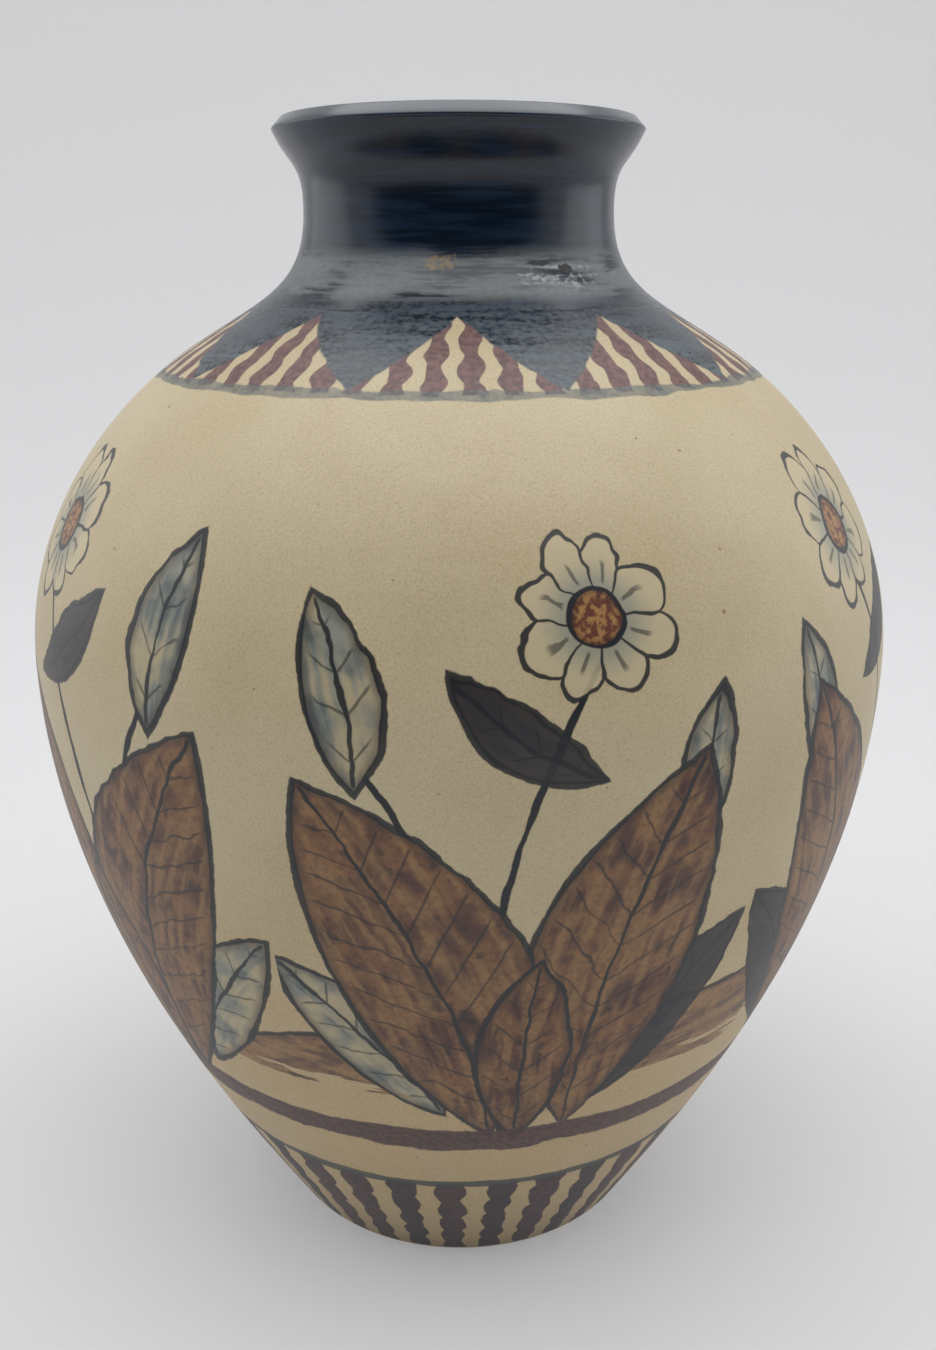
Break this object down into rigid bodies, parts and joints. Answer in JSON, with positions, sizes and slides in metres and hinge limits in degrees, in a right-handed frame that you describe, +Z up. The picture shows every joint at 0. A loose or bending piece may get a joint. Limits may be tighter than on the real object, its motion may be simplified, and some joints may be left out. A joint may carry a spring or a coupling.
{
  "type": "shouldered vase",
  "caption": "Tall round-bellied stoneware vase with a short waisted neck, a flared rounded lip and a narrow turned foot ring.",
  "frame": {"origin": "centre of the foot ring's resting circle, on the surface that the vase stands on", "axes": "+Z up along the axis of revolution through the mouth, -Y towards the side that the picture shows"},
  "size_m": [0.24, 0.24, 0.3152],
  "materials": {
    "bare_clay": "unglazed stoneware, turned and sponged, light tan",
    "painted_stoneware": "buff stoneware with brown, dark and blue-grey brush painting under a thin satin glaze",
    "dark_glaze": "semi-gloss blue-black glaze with brush and turning streaks"
  },
  "bodies": {
    "root": {"foot_ring": "bare_clay", "lower_body": "painted_stoneware", "belly": "painted_stoneware", "shoulder": "painted_stoneware", "neck_collar": "dark_glaze", "lip_roll": "dark_glaze"}
  },
  "joints": []
}
